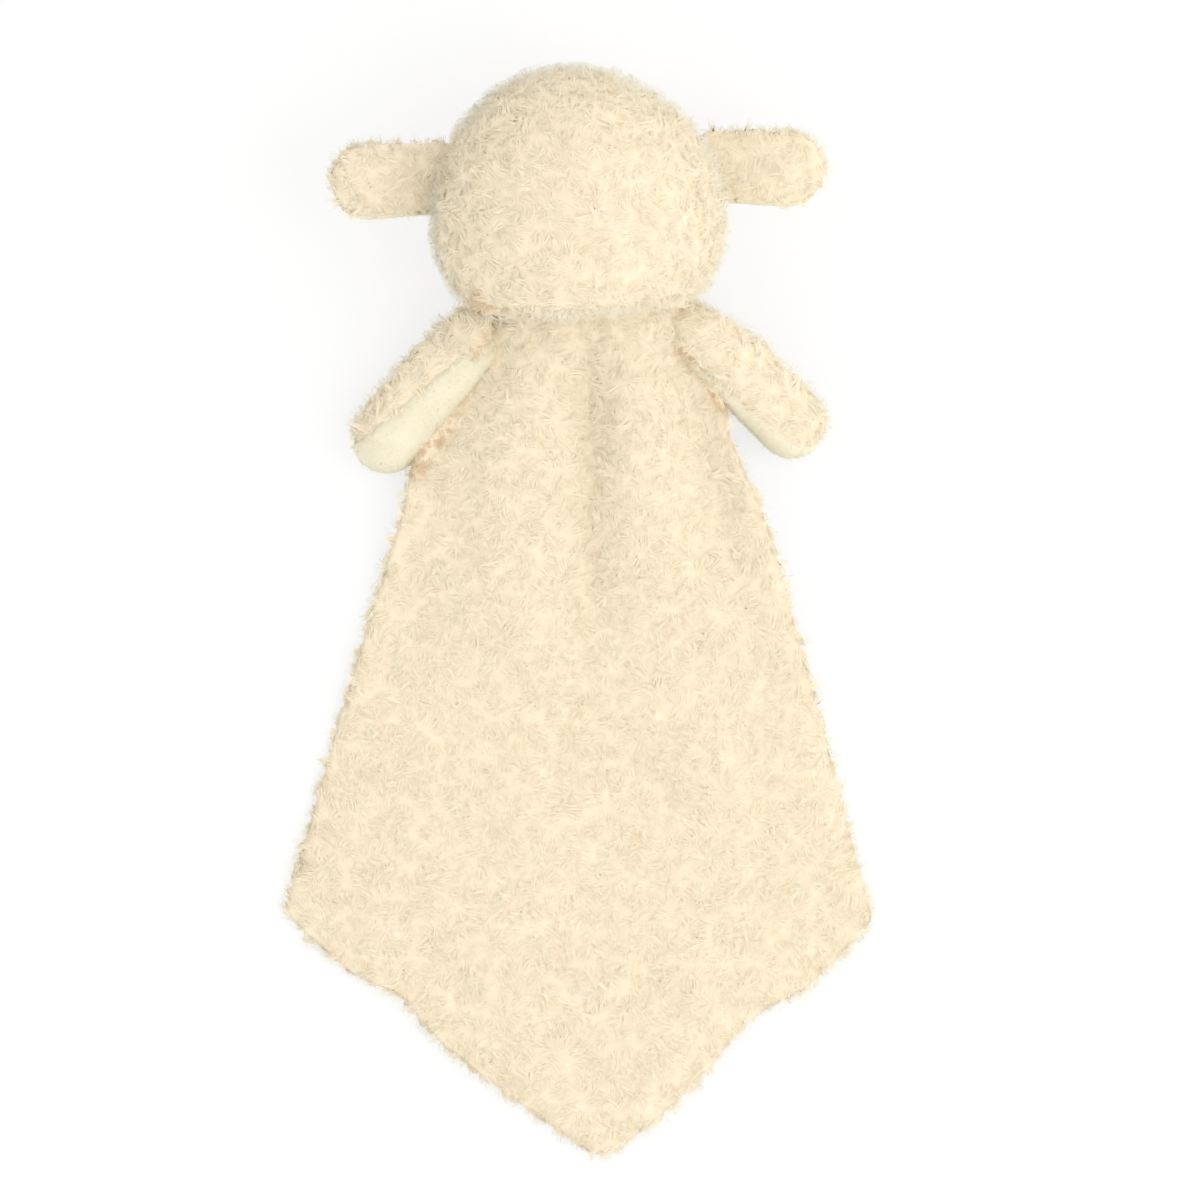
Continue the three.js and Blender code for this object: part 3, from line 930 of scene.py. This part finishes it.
def nose_width(y):
    """A triangle with its point down and its top corners taken off."""
    up = (y - 21.5) / 7
    half = 5.5 * np.sqrt(max(0, up)) * (1 - 0.25 * max(0, up - 0.8) / 0.2)
    return -half, half


bridge = np.stack([np.zeros(5), np.linspace(NOSE_LOW, MOUTH_AT, 5)], -1)
t = np.linspace(0, 1, 9)
smile = [np.stack([side * 6 * t, MOUTH_AT - 1.6 * np.sin(pi * t)], -1) for side in (-1, 1)]
nose_lines = satin(nose_width, NOSE_LOW, NOSE_TOP)
nose_lines += [on_face(line, 0.5) for line in (bridge, *smile)]
nose = stitches("nose_and_mouth_stitches", nose_lines, 0.6, PINK_THREAD)
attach(nose, "head")
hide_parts("nose_and_mouth")


# Ears: paddles of fleece behind and velour in front, lightly filled and sewn into the side seams
# of the head. The lower edge is rolled up a little, so that the velour shows along it.

VELOUR_NAP = fibre_finish(
    "velour_nap",
    paint(236, 228, 201),
    paint(240, 234, 211),
    paint(243, 239, 221),
    (
        (0.0, paint(244, 224, 200)),
        (0.25, paint(248, 243, 229)),
        (0.85, paint(255, 254, 248)),
        # Stop 1 is painted rim light, for the fibres at the rims and the stray hairs.
        (1.0, paint(255, 255, 255)),
    ),
)
CLIPPED = dict(density=0.8, lock=1.6, height=1.0, lean=0.8, width=0.32, strays=0.12)
SHELL = 1.2


def limb(name, back, end, start, tip, square, sides, rings):
    """A stuffed limb from its sewn end, at -back, to its round tip.

    start and tip are (width, depth) there, and square says how square the sewn end is.
    """
    round_tip = tip[0] / 2

    def half(first, last):
        def size(y):
            grown = first / 2 + (last - first) / 2 * smooth(0, end - round_tip, y)
            return grown * rounded(-y / back, square) * rounded((y - end + round_tip) / round_tip)

        return size

    return stuffed(name, -back, end, half(start[0], tip[0]), half(start[1], tip[1]), sides, rings)


def two_cloths(name, form, matrix, facing, slope, level, pile, share, seed):
    """A limb of velour with a half shell of fleece on the side that facing points to.

    The seam between them moves to the fleece's side by slope towards the tip, and is in the middle
    at level. pile is the depth that the fleece's curls take up, and share says where they are.
    """
    facing = np.array(facing)

    def over(co):
        return co @ facing - slope * (co[:, 1] - level)

    def velour_depth(co):
        seam = 1.0 + 0.9 * np.exp(-((over(co) / 2.2) ** 2))
        return np.where(over(co) < 0, seam, 2.4 + (pile + 0.4) * smooth(0, 2, over(co)))

    def on_velour(centre, face):
        return np.where(over(own_place(centre, matrix)) < 0.3, 1.0, 0.0)

    inner = form(f"{name}_velour")
    inwards(inner, velour_depth)
    moved(inner, matrix)
    to_metres(inner)
    nap = curls(f"{name}_nap", inner, seed + 10, on_velour, finish=VELOUR_NAP, **CLIPPED)
    inner.data.materials.append(IVORY_VELOUR)
    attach(inner, name)
    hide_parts(f"{name}_lining", f"{name}_stuffing")
    for part in nap:
        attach(part, name)

    shell = form(f"{name}_fleece_back")
    cut = tuple(np.array([0, level, 0]) - 0.6 * facing)
    across_seam = (facing[0], -slope, facing[2])
    on_all(bpy.ops.mesh.bisect, plane_co=cut, plane_no=across_seam, clear_inner=True)
    in_order(shell, points=True)
    inwards(shell, lambda co: pile + 0.7 * np.exp(-((over(co) / 2.0) ** 2)))
    moved(shell, matrix)
    to_metres(shell)
    grown = curls(f"{name}_curls", shell, seed, share)
    alone(shell)
    bpy.ops.object.modifier_add(type="SOLIDIFY")
    shell.modifiers[0].thickness = SHELL / 1000
    shell.modifiers[0].offset = -1
    bpy.ops.object.modifier_apply(modifier=shell.modifiers[0].name)
    shell.data.materials.append(SHERPA_BACKING)
    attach(shell, name)
    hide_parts(f"{name}_fleece")
    for part in grown:
        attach(part, name)


EAR_AT, EAR_LENGTH = 47, 40
EAR_OUT = 4
EAR_TWIST = radians(12)
for side, name, droop in ((-1, "left_ear", 1), (1, "right_ear", 4)):
    head_side = HEAD_HALF_WIDTH * float(head_swell(np.array(float(EAR_AT)), WIDEST))
    ear_place = Matrix.Translation((side * (head_side + SEAM + EAR_OUT), EAR_AT, -4))
    end = EAR_LENGTH - SEAM - EAR_OUT
    two_cloths(
        name,
        lambda label: limb(label, 12, end, (28.5, 9), (29.5, 15), 5, 40, 48),
        HEAD @ ear_place @ Matrix.Rotation(-side * radians(90 + droop), 4, "Z"),
        facing=(-side * sin(EAR_TWIST), 0, cos(EAR_TWIST)),
        slope=0,
        level=0,
        pile=1.2,
        share=lambda centre, face: 1 + 1.8 * smooth(0.75, 0.2, face[:, 2]),
        seed=40 + side,
    )


# Arms: the same two cloths round a firmer filling. Each is sewn by its round end into the
# blanket's side seam, just below the neck, and leans down until its paw rests on the table.

JOINTS = {joint["name"]: joint for joint in frame["record"]["behaviour"]["joints"]}


def arm_form(label, outwards, taper):
    """An arm whose outer side draws in towards the shoulder by taper.

    outwards is 1 or -1 along X.
    """
    arm = limb(label, 12, 60, (27.5, 19), (28, 24), 3, 48, 60)
    co = places(arm)
    co[:, 0] *= 1 - taper * smooth(16, -10, co[:, 1]) * (co[:, 0] * outwards > 0)
    place(arm, co)
    return arm


for side, name, turn, taper, level in (
    (-1, "left_arm", radians(4), 0.15, 9),
    (1, "right_arm", radians(40), 0.36, 34),
):
    flap = JOINTS[f"{name}_flap"]
    along_x = Vector(flap["axis"]).normalized()
    along_z = Vector(JOINTS[f"{name}_raise"]["axis"]).normalized() * side
    along_y = along_z.cross(along_x)
    turned = Matrix((along_x, along_y, along_z)).transposed().to_4x4()
    two_cloths(
        name,
        lambda label: arm_form(label, -side, taper),
        Matrix.Translation(Vector(flap["pos_m"]) * 1000) @ turned,
        facing=(-side * cos(turn), 0, sin(turn)),
        slope=0.2,
        level=level,
        pile=1.7,
        share=everywhere,
        seed=60 + side,
    )


# Shoulders: the bunched end of each arm's fleece, stitched into the blanket's side seam just under
# the head. It is a soft knot, hidden in the pile of the arm, the head and the blanket.

KNOT_HALF = 9


def knot_half(size):
    """Half the knot's width or depth along it, with the ridges of its folds."""
    return lambda y: size * rounded(np.abs(y) / KNOT_HALF) * (1 + 0.05 * np.cos(1.9 * y))


for side, name, at in ((-1, "left", (2.5, 4.5, 4)), (1, "right", (-6, 3.5, 3))):
    middle = Vector(JOINTS[f"{name}_arm_flap"]["pos_m"]) * 1000 + Vector(at)
    halves = knot_half(8.5), knot_half(7.5)
    knot = stuffed(f"{name}_shoulder_knot", -KNOT_HALF, KNOT_HALF, *halves, 28, 20)
    moved(knot, Matrix.Translation(middle) @ Matrix.Rotation(side * radians(40), 4, "Z"))
    to_metres(knot)
    knot.data.materials.append(SHERPA_BACKING)
    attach(knot, f"{name}_shoulder")
    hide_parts(f"{name}_shoulder_tab")
    for part in curls(f"{name}_shoulder_curls", knot, 80 + side, everywhere):
        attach(part, f"{name}_shoulder")


# Stage: a plain white table, half a millimetre under the lamb, that looks white to the camera and
# still takes a soft shadow. White surroundings and one large lamp over the right side light it.

BELOW = (0, 0, -0.0005)
deselect()
bpy.ops.mesh.primitive_plane_add(size=6, location=BELOW)
table = take("table")
table.data.transform(Matrix.Translation(BELOW))
table.location = (0, 0, 0)
white = Finish("white_table")
white.set(Base_Color=(0.9, 0.9, 0.9, 1), Roughness=0.9)
seen = white.node("ShaderNodeLightPath").outputs["Is Camera Ray"]
glow = white.node("ShaderNodeEmission", Color=(1, 1, 1, 1), Strength=1.0)
white.surface(white.math("MULTIPLY", seen, 0.75), glow.outputs["Emission"])
table.data.materials.append(white.material)

world = bpy.data.worlds.new("surroundings")
bpy.context.scene.world = world
world.use_nodes = True
sky = world.node_tree
for node in list(sky.nodes):
    sky.nodes.remove(node)
soft = sky.nodes.new("ShaderNodeBackground")
soft.inputs["Color"].default_value = (1.0, 1.0, 0.995, 1)
soft.inputs["Strength"].default_value = 1.0
seen = sky.nodes.new("ShaderNodeBackground")
seen.inputs["Color"].default_value = (1, 1, 1, 1)
path = sky.nodes.new("ShaderNodeLightPath")
either = sky.nodes.new("ShaderNodeMixShader")
out = sky.nodes.new("ShaderNodeOutputWorld")
sky.links.new(path.outputs["Is Camera Ray"], either.inputs["Fac"])
sky.links.new(soft.outputs["Background"], either.inputs[1])
sky.links.new(seen.outputs["Background"], either.inputs[2])
sky.links.new(either.outputs["Shader"], out.inputs["Surface"])

lamp = bpy.data.lights.new("key_lamp", "AREA")
lamp.shape = "DISK"
lamp.size = 1.1
lamp.energy = 7.0
lamp.color = (1.0, 0.975, 0.93)
key = bpy.data.objects.new("key_lamp", lamp)
bpy.context.collection.objects.link(key)
key.location = (0.85, -0.1, 1.25)
to_lamb = Vector((0, 0, 0.03)) - key.location
key.rotation_euler = to_lamb.to_track_quat("-Z", "Y").to_euler()

camera = bpy.data.objects.new("camera", bpy.data.cameras.new("camera"))
bpy.context.collection.objects.link(camera)
camera.data.lens = 412.3
camera.data.sensor_width = 36
camera.data.clip_end = 20
camera.location = (0.0078, 0.0028, 5.0)
bpy.context.scene.camera = camera
bpy.context.scene.view_settings.view_transform = "Standard"
